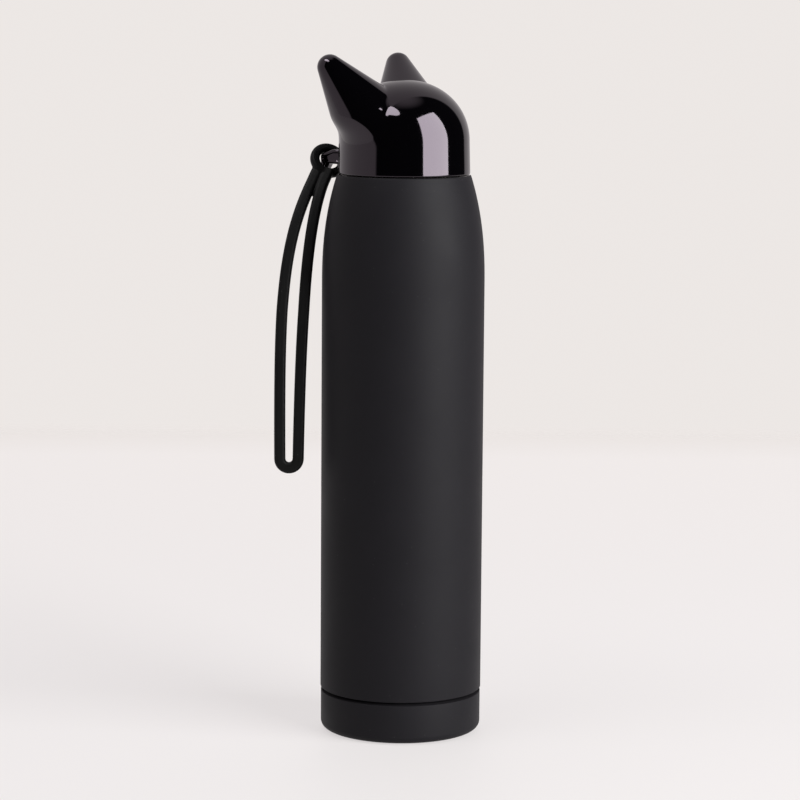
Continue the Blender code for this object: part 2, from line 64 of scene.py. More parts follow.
# Heights above the resting face and radii, millimetres, as on the frame.
SEAM_Z = 17.3
SHOULDER_Z = 227.9
CAP_Z = 228.3
NECK_TOP_Z = 239.7
LIP_Z = 240.9
BODY_R = round((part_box("outer_shell")[1].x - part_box("outer_shell")[0].x) / 2 / MM, 2)
CUP_R = 32.8
FOOT_R = 31.9
SHELL_WALL = 0.75
NECK_R = 21.8
NECK_BORE_R = 21.1
VESSEL_R = 28.8
VESSEL_NECK_R = 20.8
MOUTH_R = 20.2
CAP_R = 26.76
CAP_WALL = 1.6
LINER_R = 24.45
LINER_BORE_R = 23.2
PLUG_R = 19.2
THREAD_LEAD = 4.0
THREAD_HEIGHT = 1.1
DOME_SPRING = 13.0
DOME_R = 26.4
DOME_HEIGHT = 24.7
DOME_POWER = 2.07
EAR_BASE_SHIFT = math.radians(8.2)
EAR_BASE_R = 18.4
EAR_BASE_Z = 252.7
EAR_BASE_BALL = 13.4
EAR_TIP_BALL = 5.1
EAR_ROOT = 237.7
EAR_ROOT_BLEND = 10.0
EAR_BLEND = 5.0
EAR_CREASE = 0.6
TONGUE_HALF = 2.2
RING_CENTRE = Vector((0.0, 36.57, 232.2))
RING_NORMAL = Vector((-0.478, -0.688, 0.546)).normalized()
RING_BORE_R = 4.0
RING_OUTER_R = 7.75
STRAP_SIDE = Vector((0.53, -0.848, 0.0)).normalized()
STRAP_SWEEP = 28.6
STRAP_BEND = 26.0
STRAP_HALF_GAP = 2.34
STRAP_ROUNDING = 0.0012
GUIDE_R = 0.05

# Where the viewer stands, and the two level directions seen from there.
FRONT = Vector((-0.848, -0.530, 0.0)).normalized()
RIGHT = Vector((0.530, -0.848, 0.0)).normalized()
CAMERA_REACH = 1.204
CAMERA_HEIGHT = 0.3013
CAMERA_TILT = math.radians(7.816)
CAMERA_ROLL = math.radians(-0.42)
CAMERA_YAW = math.radians(0.046)
CAMERA_LENS = 134.1

# The viewer's side of the surroundings is dark, the rest pale.
BACKDROP_COLOUR = (0.843, 0.803, 0.782, 1.0)
PALE_COLOUR = (0.66, 0.62, 0.63, 1.0)
DARK_COLOUR = (0.012, 0.012, 0.014, 1.0)
DARK_TURN = math.radians(40.5)
DARK_HALF_OUTER = math.radians(93.0)
DARK_HALF_INNER = math.radians(88.0)


class FlaskShape(bpy.types.PropertyGroup):
    """Sizes of the flask that a user may change."""

    turn_steps: IntProperty(
        name="Turning steps", description="Facets round each turned piece",
        default=192, min=24, max=360)
    ear_tip_reach: FloatProperty(
        name="Ear tip reach", description="Distance of an ear's tip from the axis",
        default=0.0319, unit='LENGTH')
    ear_tip_height: FloatProperty(
        name="Ear tip height", description="Height of the ball at an ear's tip",
        default=0.2711, unit='LENGTH')
    ear_bearing: FloatProperty(
        name="Ear bearing", description="Angle of each ear from the strap's side",
        default=math.radians(53.0), subtype='ANGLE')
    strap_width: FloatProperty(
        name="Strand width", description="Width of one strand of the strap",
        default=0.0046, unit='LENGTH')
    strap_thickness: FloatProperty(
        name="Strand thickness", description="Thickness of the strap",
        default=0.0034, unit='LENGTH')
    strap_drop: FloatProperty(
        name="Strap drop", description="Length from the ring to the end of the loop",
        default=0.1200, unit='LENGTH')


class FlaskFinish(bpy.types.PropertyGroup):
    """Colours and surface finishes."""

    coat_colour: FloatVectorProperty(
        name="Coat", description="Soft matt coat on the body", subtype='COLOR',
        size=3, min=0.0, max=1.0, default=(0.0072, 0.0066, 0.0082))
    gloss_colour: FloatVectorProperty(
        name="Cap", description="Gloss plastic of the cap", subtype='COLOR',
        size=3, min=0.0, max=1.0, default=(0.0004, 0.0003, 0.0005))
    silicone_colour: FloatVectorProperty(
        name="Silicone", description="Strap and base pad", subtype='COLOR',
        size=3, min=0.0, max=1.0, default=(0.0022, 0.0022, 0.0022))
    coat_roughness: FloatProperty(
        name="Coat roughness", description="Roughness of the matt coat",
        subtype='FACTOR', min=0.0, max=1.0, default=0.55)
    gloss_roughness: FloatProperty(
        name="Cap roughness", description="Roughness of the gloss plastic",
        subtype='FACTOR', min=0.0, max=1.0, default=0.045)


# ----------------------------------------------------------------- node helpers

def new_group(name, inputs, outputs, kind='ShaderNodeTree'):
    """Node group with named sockets; returns group, input and output nodes."""
    group = bpy.data.node_groups.new(name, kind)
    for label, socket_kind, value in inputs:
        socket = group.interface.new_socket(label, in_out='INPUT', socket_type=socket_kind)
        if value is not None:
            socket.default_value = value
    for label, socket_kind in outputs:
        group.interface.new_socket(label, in_out='OUTPUT', socket_type=socket_kind)
    return group, group.nodes.new('NodeGroupInput'), group.nodes.new('NodeGroupOutput')


def made(nodes, kind, values=None, **settings):
    """New node with the given settings and fixed input values."""
    node = nodes.new(kind)
    for name, value in settings.items():
        setattr(node, name, value)
    for label, value in (values or {}).items():
        node.inputs[label].default_value = value
    return node


def mapped(nodes, start, end, low=0.0, high=1.0, soft=False):
    """Map Range node from start and end to low and high, with soft ends if wanted."""
    return made(nodes, 'ShaderNodeMapRange',
                {"From Min": start, "From Max": end, "To Min": low, "To Max": high},
                interpolation_type='SMOOTHSTEP' if soft else 'LINEAR')


def wire(links, *joins):
    """Link nodes; each join is (from node, output, to node, input)."""
    for source, out, target, into in joins:
        links.new(source.outputs[out], target.inputs[into])


# ---------------------------------------------------------------- shader groups

def grain_group():
    """Fine moulded or sprayed grain: a height and a slow tone shift."""
    group, entry, leave = new_group(
        "Fine grain",
        [("Vector", 'NodeSocketVector', None), ("Grain scale", 'NodeSocketFloat', 2500.0),
         ("Tone scale", 'NodeSocketFloat', 60.0)],
        [("Height", 'NodeSocketFloat'), ("Tone", 'NodeSocketFloat')])
    fine = made(group.nodes, 'ShaderNodeTexNoise', {"Detail": 3.0, "Roughness": 0.6})
    slow = made(group.nodes, 'ShaderNodeTexNoise', {"Detail": 4.0})
    wire(group.links,
         (entry, "Vector", fine, "Vector"), (entry, "Grain scale", fine, "Scale"),
         (entry, "Vector", slow, "Vector"), (entry, "Tone scale", slow, "Scale"),
         (fine, "Fac", leave, "Height"), (slow, "Fac", leave, "Tone"))


def dust_group():
    """Sparse specks and faint rubbed patches, from 0 to 1."""
    group, entry, leave = new_group(
        "Dust and rubbing",
        [("Vector", 'NodeSocketVector', None), ("Speck scale", 'NodeSocketFloat', 900.0),
         ("Rub scale", 'NodeSocketFloat', 35.0)],
        [("Specks", 'NodeSocketFloat'), ("Rub", 'NodeSocketFloat')])
    nodes = group.nodes
    cells = made(nodes, 'ShaderNodeTexVoronoi', {"Randomness": 1.0})
    near = mapped(nodes, 0.16, 0.05)
    pick = made(nodes, 'ShaderNodeSeparateColor')
    few = made(nodes, 'ShaderNodeMath', {1: 0.965}, operation='GREATER_THAN')
    both = made(nodes, 'ShaderNodeMath', operation='MULTIPLY')
    patch = made(nodes, 'ShaderNodeTexNoise', {"Detail": 5.0, "Distortion": 0.6})
    rub = mapped(nodes, 0.45, 0.75)
    wire(group.links,
         (entry, "Vector", cells, "Vector"), (entry, "Speck scale", cells, "Scale"),
         (cells, "Distance", near, "Value"), (cells, "Color", pick, "Color"),
         (pick, "Red", few, 0), (near, "Result", both, 0), (few, 0, both, 1),
         (entry, "Vector", patch, "Vector"), (entry, "Rub scale", patch, "Scale"),
         (patch, "Fac", rub, "Value"), (both, 0, leave, "Specks"),
         (rub, "Result", leave, "Rub"))


def turning_group():
    """Fine lines left by spinning and brushing a metal piece round its axis."""
    group, entry, leave = new_group(
        "Turning lines",
        [("Vector", 'NodeSocketVector', None), ("Line scale", 'NodeSocketFloat', 1500.0)],
        [("Lines", 'NodeSocketFloat')])
    nodes = group.nodes
    split = made(nodes, 'ShaderNodeSeparateXYZ')
    across = made(nodes, 'ShaderNodeCombineXYZ')
    length = made(nodes, 'ShaderNodeVectorMath', operation='LENGTH')
    lines = made(nodes, 'ShaderNodeCombineXYZ')
    noise = made(nodes, 'ShaderNodeTexNoise', {"Detail": 2.0})
    wire(group.links,
         (entry, "Vector", split, "Vector"), (split, "X", across, "X"),
         (split, "Y", across, "Y"), (across, "Vector", length, 0),
         (length, "Value", lines, "X"), (split, "Z", lines, "Z"),
         (lines, "Vector", noise, "Vector"), (entry, "Line scale", noise, "Scale"),
         (noise, "Fac", leave, "Lines"))


# ------------------------------------------------------------------- materials

def plain_material(name):
    """Material with a Principled shader; returns its parts and object coordinates."""
    material = bpy.data.materials.new(name)
    material.use_nodes = True
    nodes, links = material.node_tree.nodes, material.node_tree.links
    nodes.clear()
    shader = nodes.new('ShaderNodeBsdfPrincipled')
    output = nodes.new('ShaderNodeOutputMaterial')
    place = nodes.new('ShaderNodeTexCoord')
    wire(links, (shader, "BSDF", output, "Surface"))
    return material, nodes, links, shader, place


def placed_group(nodes, links, place, name, values):
    """Put a shader node group in a material, reading object coordinates."""
    node = made(nodes, 'ShaderNodeGroup', values, node_tree=bpy.data.node_groups[name])
    wire(links, (place, "Object", node, "Vector"))
    return node


def rubbed(nodes, links, shader, worn, plain, polished):
    """Roughness that falls from plain to polished where the surface is rubbed."""
    rough = mapped(nodes, 0.0, 1.0, plain, polished)
    wire(links, (worn, "Rub", rough, "Value"), (rough, "Result", shader, "Roughness"))


def bumped(nodes, links, shader, source, label, strength, depth):
    """Fine relief on the shader's normal, from a height."""
    ridge = made(nodes, 'ShaderNodeBump', {"Strength": strength, "Distance": depth})
    wire(links, (source, label, ridge, "Height"), (ridge, "Normal", shader, "Normal"))


def tinted(nodes, links, source, label, colour, lift):
    """Mix node whose colour drifts slightly round its own value."""
    dull = (*[c * (1.0 - lift) for c in colour], 1.0)
    bright = (*[min(1.0, c * (1.0 + lift)) for c in colour], 1.0)
    mix = made(nodes, 'ShaderNodeMix', {"A": dull, "B": bright}, data_type='RGBA')
    wire(links, (source, label, mix, "Factor"))
    return mix


def coated_material(name, colour, roughness, grain=2500.0, bump=0.04, lift=0.08,
                    spread=0.05, specks=0.0, metallic=0.0, depth=0.00002):
    """Material with grain, slow tone drift, rubbing and optional dust specks."""
    _, nodes, links, shader, place = plain_material(name)
    fine = placed_group(nodes, links, place, "Fine grain", {"Grain scale": grain})
    worn = placed_group(nodes, links, place, "Dust and rubbing", {})
    shade = tinted(nodes, links, fine, "Tone", colour, lift)
    if specks > 0.0:
        dusty = made(nodes, 'ShaderNodeMix', {"B": (specks, specks, specks, 1.0)},
                     data_type='RGBA')
        wire(links, (worn, "Specks", dusty, "Factor"), (shade, "Result", dusty, "A"))
        shade = dusty
    wire(links, (shade, "Result", shader, "Base Color"))
    rubbed(nodes, links, shader, worn, roughness + spread, roughness - spread)
    shader.inputs["Metallic"].default_value = metallic
    bumped(nodes, links, shader, fine, "Height", bump, depth)
    return shader


def brushed_material(name, colour, roughness, lines=1500.0):
    """Spun metal with fine lines round the axis."""
    _, nodes, links, shader, place = plain_material(name)
    spun = placed_group(nodes, links, place, "Turning lines", {"Line scale": lines})
    worn = placed_group(nodes, links, place, "Dust and rubbing", {})
    shade = tinted(nodes, links, spun, "Lines", colour, 0.12)
    wire(links, (shade, "Result", shader, "Base Color"))
    rubbed(nodes, links, shader, worn, roughness + 0.06, roughness - 0.04)
    shader.inputs["Metallic"].default_value = 1.0
    bumped(nodes, links, shader, spun, "Lines", 0.25, 0.00002)


def make_materials():
    """All the finishes, by name."""
    finish = bpy.context.scene.flask_finish
    coat = coated_material("matt coat", tuple(finish.coat_colour), finish.coat_roughness,
                           3200.0, 0.25, 0.10, 0.03, 0.05)
    coat.inputs["Specular IOR Level"].default_value = 0.115
    gloss = coated_material("gloss cap plastic", tuple(finish.gloss_colour),
                            finish.gloss_roughness, 700.0, 0.012, 0.1, 0.015)
    gloss.inputs["IOR"].default_value = 1.52
    gloss.inputs["Specular Tint"].default_value = (1.0, 0.86, 1.0, 1.0)
    silicone = coated_material("black silicone", tuple(finish.silicone_colour), 0.48,
                               2600.0, 0.2, 0.2, 0.08, 0.06)
    silicone.inputs["Specular IOR Level"].default_value = 0.15
    coated_material("grey seal silicone", (0.42, 0.42, 0.43), 0.45, 2600.0, 0.15)
    coated_material("liner plastic", (0.018, 0.018, 0.019), 0.35, 1800.0, 0.12, 0.1, 0.06)
    coated_material("plug foam", (0.78, 0.78, 0.75), 0.9, 900.0, 0.8, 0.05, 0.03,
                    depth=0.0002)
    coated_material("getter alloy", (0.28, 0.27, 0.27), 0.55, 1500.0, 0.6, 0.2, 0.1,
                    metallic=1.0, depth=0.0001)
    brushed_material("spun steel", (0.56, 0.55, 0.54), 0.24)
    brushed_material("copper foil", (0.80, 0.42, 0.28), 0.22, 600.0)


# ------------------------------------------------------------ geometry helpers

def rounded(corners, steps=6):
    """Outline with filleted corners from (r, z, fillet)."""
    result = []
    count = len(corners)
    for i, (r, z, fillet) in enumerate(corners):
        here = Vector((r, z))
        if fillet <= 0.0:
            result.append(here)
            continue
        before = (Vector(corners[i - 1][:2]) - here).normalized()
        after = (Vector(corners[(i + 1) % count][:2]) - here).normalized()
        half = before.angle(after) / 2.0
        start = here + before * (fillet / math.tan(half))
        end = here + after * (fillet / math.tan(half))
        centre = here + (before + after).normalized() * (fillet / math.sin(half))
        turn = (start - centre).angle_signed(end - centre)
        for step in range(steps + 1):
            swing = Matrix.Rotation(-turn * step / steps, 2)
            result.append(centre + swing @ (start - centre))
    return [(p[0], p[1]) for p in result]


def inset(line, wall):
    """The same line moved inward by the wall thickness."""
    result = []
    for i, (r, z) in enumerate(line):
        r0, z0 = line[max(i - 1, 0)]
        r1, z1 = line[min(i + 1, len(line) - 1)]
        run = Vector((r1 - r0, z1 - z0)).normalized()
        result.append((r + run.y * wall, z - run.x * wall))
    return result


def lathe_tree():
    """Geometry nodes that turn a profile round the Z axis."""
    tree, entry, leave = new_group(
        "Turned piece",
        [("Profile", 'NodeSocketGeometry', None), ("Steps", 'NodeSocketInt', 96),
         ("Guide radius", 'NodeSocketFloat', GUIDE_R),
         ("Finish", 'NodeSocketMaterial', None)],
        [("Turned", 'NodeSocketGeometry')], 'GeometryNodeTree')
    nodes = tree.nodes
    line = nodes.new('GeometryNodeMeshToCurve')
    guide = nodes.new('GeometryNodeCurvePrimitiveCircle')
    upright = made(nodes, 'GeometryNodeSetCurveNormal', mode='Z_UP')
    sweep = nodes.new('GeometryNodeCurveToMesh')
    merge = made(nodes, 'GeometryNodeMergeByDistance', {"Distance": 0.000002})
    shade = nodes.new('GeometryNodeSetShadeSmooth')
    realize = nodes.new('GeometryNodeRealizeInstances')
    finish = nodes.new('GeometryNodeSetMaterial')
    wire(tree.links,
         (entry, "Profile", line, "Mesh"), (entry, "Steps", guide, "Resolution"),
         (entry, "Guide radius", guide, "Radius"), (guide, "Curve", upright, "Curve"),
         (upright, "Curve", sweep, "Curve"), (line, "Curve", sweep, "Profile Curve"),
         (sweep, "Mesh", merge, "Geometry"), (merge, "Geometry", shade, "Geometry"),
         (shade, "Geometry", realize, "Geometry"),
         (realize, "Geometry", finish, "Geometry"), (entry, "Finish", finish, "Material"),
         (finish, "Geometry", leave, "Turned"))


def socket_id(tree, label):
    """Identifier of a named input of a geometry node tree."""
    for item in tree.interface.items_tree:
        if item.item_type == 'SOCKET' and item.in_out == 'INPUT' and item.name == label:
            return item.identifier
    raise RuntimeError("no input called " + label)


def settle(item):
    """Replace live modifiers by a plain mesh with faces turned outward."""
    graph = bpy.context.evaluated_depsgraph_get()
    mesh = bpy.data.meshes.new_from_object(item.evaluated_get(graph))
    old = item.data
    item.modifiers.clear()
    item.data = mesh
    if old.users == 0:
        bpy.data.meshes.remove(old)
    bm = bmesh.new()
    bm.from_mesh(mesh)
    bmesh.ops.remove_doubles(bm, verts=bm.verts, dist=1e-7)
    bmesh.ops.recalc_face_normals(bm, faces=bm.faces)
    bm.to_mesh(mesh)
    bm.free()
    for face in mesh.polygons:
        face.use_smooth = True
    return item


def grown(item, tree_name, values):
    """Run a geometry node tree on an object and keep the result."""
    tree = bpy.data.node_groups[tree_name]
    change = item.modifiers.new(tree_name, 'NODES')
    change.node_group = tree
    for label, value in values.items():
        change[socket_id(tree, label)] = value
    return settle(item)


def linked(name, data, finish=None):
    """Link a mesh, a light or a camera to the scene as one object."""
    item = bpy.data.objects.new(name, data)
    bpy.context.scene.collection.objects.link(item)
    if finish is not None:
        data.materials.append(bpy.data.materials[finish])
    return item


def mesh_of(name, points, faces):
    """Mesh in metres from millimetre points."""
    mesh = bpy.data.meshes.new(name)
    mesh.from_pydata([tuple(c * MM for c in p) for p in points], [], faces)
    mesh.validate()
    return mesh


def band_faces(rings, count, closed=False):
    """Faces between neighbouring rings of count points each."""
    faces = []
    for i in range(rings if closed else rings - 1):
        here = i * count
        there = (i + 1) % rings * count
        for k in range(count):
            after = (k + 1) % count
            faces.append((here + k, here + after, there + after, there + k))
    return faces


def turned(name, outline, finish):
    """Turned piece from an (r, z) outline, closed where it leaves the axis."""
    mesh = bpy.data.meshes.new(name)
    points = [(r * MM - GUIDE_R, -z * MM, 0.0) for r, z in outline]
    edges = [(i, i + 1) for i in range(len(points) - 1)]
    if outline[0][0] > 1e-6:
        edges.append((len(points) - 1, 0))
    mesh.from_pydata(points, edges, [])
    return grown(linked(name, mesh), "Turned piece",
                 {"Steps": bpy.context.scene.flask_shape.turn_steps,
                  "Guide radius": GUIDE_R, "Finish": bpy.data.materials[finish]})


def from_axis(line):
    """Start a cup's outline where it leaves the axis, so that both poles close."""
    for i in range(len(line)):
        if line[i][0] == 0.0 and line[i - 1][0] == 0.0:
            return line[i:] + line[:i]
    return line


def joined(item, others):
    """Join more meshes into the first one."""
    bm = bmesh.new()
    bm.from_mesh(item.data)
    for other in others:
        bm.from_mesh(other.data)
        bpy.data.objects.remove(other, do_unlink=True)
    bm.to_mesh(item.data)
    bm.free()
    for face in item.data.polygons:
        face.use_smooth = True
    return item


def thread_ridge(name, root, crest, start_z, start_turn, turns, finish):
    """Closed helical ridge with run-in and run-out."""
    count = int(96 * turns)
    points = []
    for i in range(count + 1):
        angle = 2.0 * math.pi * (start_turn + turns * i / count)
        z = start_z + THREAD_LEAD * angle / (2.0 * math.pi)
        fade = min(1.0, 8.0 * i / count, 8.0 * (count - i) / count)
        top = root + (crest - root) * max(fade, 0.02)
        sunk = root - (crest - root) * 0.25
        lean = root + (top - root) * 0.8
        for r, dz in ((sunk, -1.2), (sunk, 1.2), (root, 1.2), (lean, 0.74), (top, 0.5),
                      (top, -0.5), (lean, -0.74), (root, -1.2)):
            points.append((r * math.cos(angle), r * math.sin(angle), z + dz))
    faces = [tuple(reversed(range(8)))]
    faces += band_faces(count + 1, 8)
    faces.append(tuple(count * 8 + k for k in range(8)))
    return settle(linked(name, mesh_of(name, points, faces), finish))


def keep(item, body, slot, *nodes):
    """Ride a finished piece on its body and let it stand for its CAD nodes."""
    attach(item, body)
    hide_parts(*nodes)


# --------------------------------------------------------------------- outlines

def shoulder_line(count=60):
    """Outer line of the body from the shoulder's crown to the straight wall."""
    crown = rounded([(22.7, SHOULDER_Z, 0.0), (27.05, SHOULDER_Z, 0.55),
                     (27.35, 227.0, 0.0)], 5)
    curve = []
    for step in range(1, count):
        drop = step / (count - 1.0)
        level = drop ** 1.25
        r = 27.35 + (BODY_R - 27.35) * (1.0 - (1.0 - level) ** 2.35)
        curve.append((r, 227.0 - 43.0 * level))
    return crown + curve


def shell_outline():
    """Body shell: neck, shoulder, wall and the step that enters the cup."""
    neck = [(NECK_BORE_R, NECK_TOP_Z), (NECK_R - 0.25, NECK_TOP_Z),
            (NECK_R, NECK_TOP_Z - 0.25), (NECK_R, SHOULDER_Z + 0.9),
            (NECK_R + 0.12, SHOULDER_Z + 0.45), (NECK_R + 0.4, SHOULDER_Z + 0.15)]
    outer = shoulder_line()
    wall = [(BODY_R, z) for z in (160.0, 120.0, 80.0, 40.0)]
    foot = rounded([(BODY_R, 30.0, 0.0), (BODY_R, SEAM_Z + 0.15, 0.28),
                    (FOOT_R, SEAM_Z + 0.15, 0.0), (FOOT_R, 8.5, 0.0),
                    (FOOT_R - SHELL_WALL, 8.5, 0.0), (FOOT_R - SHELL_WALL, 16.9, 0.0),
                    (BODY_R - SHELL_WALL, 18.9, 0.0), (BODY_R - SHELL_WALL, 120.0, 0.0)], 5)
    inner = inset(outer, SHELL_WALL)[3::3]
    inner.reverse()
    return neck + outer + wall + foot + inner + [(NECK_BORE_R + 0.6, 227.15),
                                                 (NECK_BORE_R, 228.1)]


def vessel_outline():
    """Inner vessel with a rolled mouth."""
    shoulder = [(VESSEL_NECK_R, 224.6)]
    for step in range(24):
        turn = math.pi / 2.0 * step / 23.0
        shoulder.append((21.3 + 7.5 * math.sin(turn) ** 0.9,
                         224.0 - 42.0 * (1.0 - math.cos(turn))))
    outer = [(VESSEL_NECK_R, NECK_TOP_Z + 0.3)] + shoulder
    outer += [(VESSEL_R, 100.0), (VESSEL_R, 16.0)]
    inner = inset(shoulder, 0.55)
    inner[0] = (MOUTH_R, 224.4)
    inner.reverse()
    inner = [(VESSEL_R - 0.5, 16.0), (VESSEL_R - 0.5, 100.0)] + inner
    lip = rounded([(MOUTH_R, 232.0, 0.0), (MOUTH_R, LIP_Z, 0.42),
                   (NECK_R - 0.1, LIP_Z, 0.42), (NECK_R - 0.1, NECK_TOP_Z + 0.3, 0.0)], 6)
    return outer + inner + lip


def cup_outline():
    """Metal cup round the foot, with the pad's recess."""
    cup = rounded([(CUP_R, SEAM_Z - 0.15, 0.22), (CUP_R, 0.15, 3.1), (27.6, 0.15, 0.3),
                   (27.6, 1.5, 0.0)], 12)
    cup += [(0.0, 1.5)]
    cup += rounded([(0.0, 2.1, 0.0), (28.2, 2.1, 0.0), (28.2, 1.0, 0.0),
                    (CUP_R - 0.6, 1.0, 3.0), (CUP_R - 0.6, SEAM_Z - 0.15, 0.0)], 8)
    return from_axis(cup)


# ------------------------------------------------------------------ cap surface

def blend_min(a, b, width):
    """Smooth minimum of two distance fields."""
    mix = np.clip(0.5 + 0.5 * (b - a) / width, 0.0, 1.0)
    return b * (1.0 - mix) + a * mix - width * mix * (1.0 - mix)


def dome_field(points):
    """Distance to the plain dome."""
    height = points[:, 2] - CAP_Z
    radius = np.hypot(points[:, 0], points[:, 1])
    side = DOME_R + (CAP_R - DOME_R) * np.clip(1.0 - height / DOME_SPRING, 0.0, 2.0)
    over = np.maximum(height - DOME_SPRING, 0.0) / DOME_HEIGHT
    size = ((radius / side) ** DOME_POWER + over ** DOME_POWER) ** (1.0 / DOME_POWER)
    return (size - 1.0) * side


def ear_field(points, side):
    """Distance to one ear, a round cone that leans out and sinks into the cap."""
    shape = bpy.context.scene.flask_shape
    tip_turn = shape.ear_bearing
    base_turn = tip_turn + EAR_BASE_SHIFT
    reach = shape.ear_tip_reach / MM
    base = np.array((side * EAR_BASE_R * math.sin(base_turn),
                     EAR_BASE_R * math.cos(base_turn), EAR_BASE_Z))
    tip = np.array((side * reach * math.sin(tip_turn), reach * math.cos(tip_turn),
                    shape.ear_tip_height / MM))
    axis = tip - base
    length = np.linalg.norm(axis)
    offset = points - base
    along = offset @ axis / length
    away = np.linalg.norm(offset - np.outer(along / length, axis), axis=1)
    slope = (EAR_BASE_BALL - EAR_TIP_BALL) / length
    cosine = math.sqrt(1.0 - slope * slope)
    out = side * points[:, 0] * math.sin(base_turn) + points[:, 1] * math.cos(base_turn)
    root = out * 0.33 + points[:, 2] * 0.94 - EAR_ROOT
    cone = -blend_min(EAR_BASE_BALL - away * cosine - along * slope, root, EAR_ROOT_BLEND)
    ball = np.hypot(away, along - length) - EAR_TIP_BALL
    return np.where(along * cosine - away * slope > cosine * length, ball, cone)


def crease_width(points, side):
    """Width of the blend at an ear's root: soft outside, tight towards the dome."""
    turn = bpy.context.scene.flask_shape.ear_bearing
    out = side * points[:, 0] * math.sin(turn) + points[:, 1] * math.cos(turn)
    above = (points[:, 2] - EAR_BASE_Z) * 0.62 - (out - EAR_BASE_R) * 0.78
    inner = np.clip((above + 7.0) / 12.0, 0.0, 1.0)
    return EAR_BLEND - (EAR_BLEND - EAR_CREASE) * inner * inner * (3.0 - 2.0 * inner)


def cap_field(points):
    """Distance to the outside of the cap."""
    field = dome_field(points)
    for side in (1.0, -1.0):
        field = blend_min(field, ear_field(points, side), crease_width(points, side))
    return field


def cap_reach(start, way, depth):
    """Distances along rays to the surface lying depth inside the cap."""
    low = np.full(len(way), 2.0)
    high = np.full(len(way), 60.0)
    for _ in range(30):
        middle = (low + high) / 2.0
        inside = cap_field(start + way * middle[:, None]) < -depth
        low = np.where(inside, middle, low)
        high = np.where(inside, high, middle)
    return (low + high) / 2.0


def cap_skin(depth, rows, tilts, centre_z, columns):
    """Rings of points over the cap, and its top point."""
    rings = []
    level = np.stack([np.cos(columns), np.sin(columns), np.zeros(len(columns))], 1)
    for z in rows:
        start = np.array((0.0, 0.0, z))
        rings.append(start + level * cap_reach(start, level, depth)[:, None])
    start = np.array((0.0, 0.0, centre_z))
    for tilt in tilts:
        way = level * math.cos(tilt) + np.array((0.0, 0.0, math.sin(tilt)))
        rings.append(start + way * cap_reach(start, way, depth)[:, None])
    up = np.array([(0.0, 0.0, 1.0)])
    return rings, (start + up * cap_reach(start, up, depth)[:, None])[0]


def cap_columns(count):
    """Bearings round the cap, closer together on the ears."""
    bearing = bpy.context.scene.flask_shape.ear_bearing
    fine = np.linspace(0.0, 2.0 * math.pi, 2881)[:-1]
    weight = np.full(len(fine), 0.55)
    for side in (1.0, -1.0):
        centre = math.pi / 2.0 - side * bearing
        gap = np.angle(np.exp(1j * (fine - centre)))
        weight += 1.5 * np.exp(-(gap / 0.38) ** 2)
    total = np.concatenate([[0.0], np.cumsum(weight)])
    marks = np.linspace(0.0, total[-1], count + 1)[:-1]
    return np.interp(marks, total, np.linspace(0.0, 2.0 * math.pi, 2881))


def cap_hood():
    """Glossy hollow cap with both ears."""
    columns = cap_columns(300)
    tilts = np.concatenate([np.linspace(1.5, 28.0, 32), np.linspace(28.6, 56.0, 78),
                            np.linspace(57.0, 88.6, 40)])
    rows = np.concatenate([[CAP_Z + 0.55, 229.4, 230.4], np.linspace(232.0, 244.0, 12)])
    outer, outer_top = cap_skin(0.0, rows, np.radians(tilts), 244.0, columns)
    inner_tilts = np.radians(np.linspace(3.0, 86.0, 40))
    inner, inner_top = cap_skin(CAP_WALL, np.array([CAP_Z, 236.0, 243.0]), inner_tilts,
                                243.0, columns)
    edge = []
    for step in range(1, 7):
        turn = math.pi / 2.0 * step / 6.0
        slip = 1.0 - 0.5 * (1.0 - math.cos(turn)) / CAP_R
        ring = outer[0] * np.array((slip, slip, 1.0))
        edge.append(ring - np.array((0.0, 0.0, 0.55 * math.sin(turn))))
    rings = inner[::-1] + edge[::-1] + outer
    count = len(columns)
    points = np.concatenate(rings + [inner_top[None, :], outer_top[None, :]])
    faces = band_faces(len(rings), count)
    last = (len(rings) - 1) * count
    for k in range(count):
        faces.append((k, len(points) - 2, (k + 1) % count))
        faces.append((last + k, last + (k + 1) % count, len(points) - 1))
    return settle(linked("cap_hood", mesh_of("cap_hood", points.tolist(), faces),
                         "gloss cap plastic"))


def shrink(line, pull):
    """Move a closed (y, z) outline inward."""
    result = []
    count = len(line)
    for i in range(count):
        run = (Vector(line[(i + 1) % count]) - Vector(line[i - 1])).normalized()
        result.append(Vector(line[i]) + Vector((run.y, -run.x)) * pull)
    return result


def tongue():
    """Rounded tongue that carries the strap's ring, with a sunk panel on each face."""
    foot = CAP_R - 1.0
    line = rounded([(foot, 237.0, 0.0), (33.4, 237.0, 2.6), (39.5, 234.9, 1.7),
                    (39.0, 228.1, 0.9), (36.9, 228.0, 0.8), (35.2, 231.0, 1.0),
                    (31.4, 231.0, 1.2), (29.6, 228.8, 1.0), (foot, 228.8, 0.0)], 8)
    half = TONGUE_HALF
    layers = [(half - 0.55, 1.95), (half - 0.5, 1.5), (half, 1.25), (half, 0.95)]
    for step in range(1, 9):
        turn = math.pi / 2.0 * step / 8.0
        layers.append((half - 1.0 + math.cos(turn), 1.0 - math.sin(turn)))
    layers = layers + [(-x, pull) for x, pull in reversed(layers)]
    count = len(line)
    points = []
    for x, pull in layers:
        points += [(x, p[0], p[1]) for p in shrink(line, pull)]
    faces = [tuple(range(count))] + band_faces(len(layers), count)
    last = (len(layers) - 1) * count
    faces.append(tuple(range(last + count - 1, last - 1, -1)))
    return settle(linked("tongue", mesh_of("tongue", points, faces), "gloss cap plastic"))


# ------------------------------------------------------------------------ strap

def strap_point(fall, side):
    """Middle line of the loop: fall below the ring and shift to one side."""
    along = -STRAP_SWEEP * (1.0 - math.exp(-fall / STRAP_BEND))
    return RING_CENTRE + Vector((along, 0.0, -fall)) + STRAP_SIDE * side


